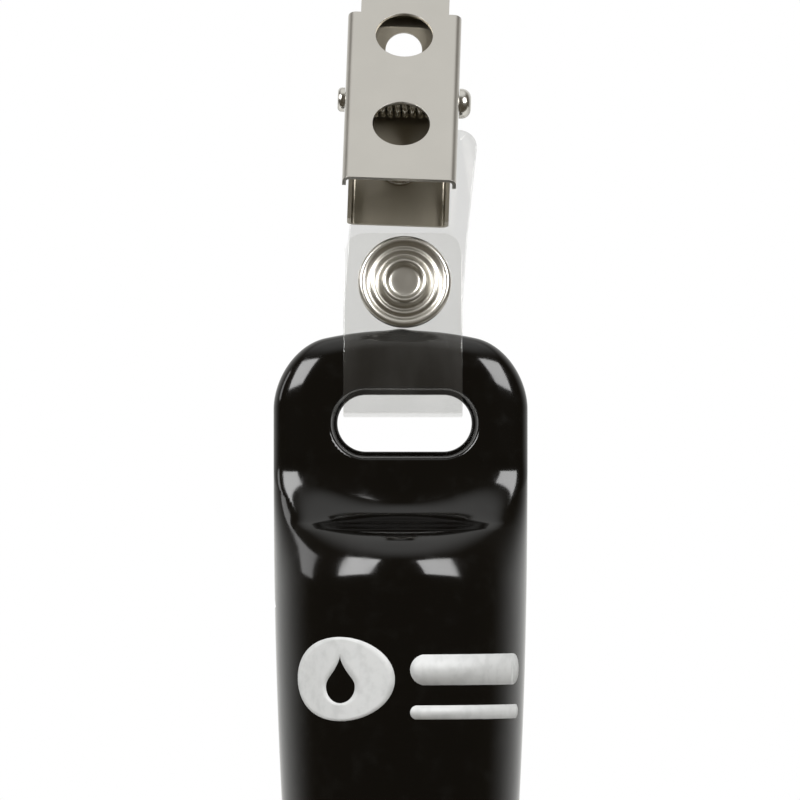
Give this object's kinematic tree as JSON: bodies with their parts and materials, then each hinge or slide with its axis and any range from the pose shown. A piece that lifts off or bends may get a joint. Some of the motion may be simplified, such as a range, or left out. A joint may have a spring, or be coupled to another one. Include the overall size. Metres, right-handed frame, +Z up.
{
  "type": "hanging bottle holder",
  "caption": "Soft black sleeve that grips a small bottle, hung by a clear snap strap from a two-lever spring clip.",
  "frame": {"origin": "the grip point between the clip's two jaws, from which the whole object hangs", "axes": "+Z up along the hanging object, +X across the holder, +Y to the back; the front shows from -Y"},
  "size_m": [0.027, 0.0276, 0.0924],
  "materials": {
    "black_vinyl": "dip-moulded gloss",
    "clear_vinyl": "clear flexible sheet",
    "nickel_plate": "nickel-plated pressed steel, satin",
    "bright_nickel": "bright nickel plate",
    "spring_wire": "drawn steel wire"
  },
  "bodies": {
    "clip_back": {"back_lever": "nickel_plate", "pivot_pin": "bright_nickel", "torsion_spring": "spring_wire", "strap_rivet": "bright_nickel", "rivet_washer": "bright_nickel"},
    "clip_front": {"front_lever": "nickel_plate"},
    "strap": {"strap_rear_leg": "clear_vinyl", "snap_stud": "bright_nickel", "snap_rear_cap": "bright_nickel"},
    "strap_flap": {"strap_front_leg": "clear_vinyl", "snap_front_cap": "bright_nickel", "snap_socket": "bright_nickel", "snap_socket_spring": "spring_wire"},
    "holder": {"holder_sleeve": "black_vinyl"}
  },
  "joints": [
    {"name": "clip_open", "type": "hinge", "parent": "clip_back", "child": "clip_front", "pos_m": [-0.00042, -0.00872, -0.01193], "axis": [0.9994, 0, -0.0349], "range_deg": [0, 20], "stiffness_Nm_per_rad": 0.05, "springref_deg": -22.92, "deforming": ["torsion_spring"]},
    {"name": "strap_swivel", "type": "hinge", "parent": "clip_back", "child": "strap", "pos_m": [-0.00067, -0.00785, -0.01905], "axis": [-0.0108, 0.9511, -0.3088], "range_deg": [-8, 8]},
    {"name": "snap_open", "type": "hinge", "parent": "strap", "child": "strap_flap", "pos_m": [0, -0.01626, -0.04393], "axis": [1, 0, 0], "range_deg": [0, 80], "deforming": ["snap_socket_spring"]},
    {"name": "holder_swing", "type": "hinge", "parent": "strap", "child": "holder", "pos_m": [-0.00057, -0.01309, -0.03973], "axis": [1, 0, 0], "range_deg": [-6, 6]}
  ]
}
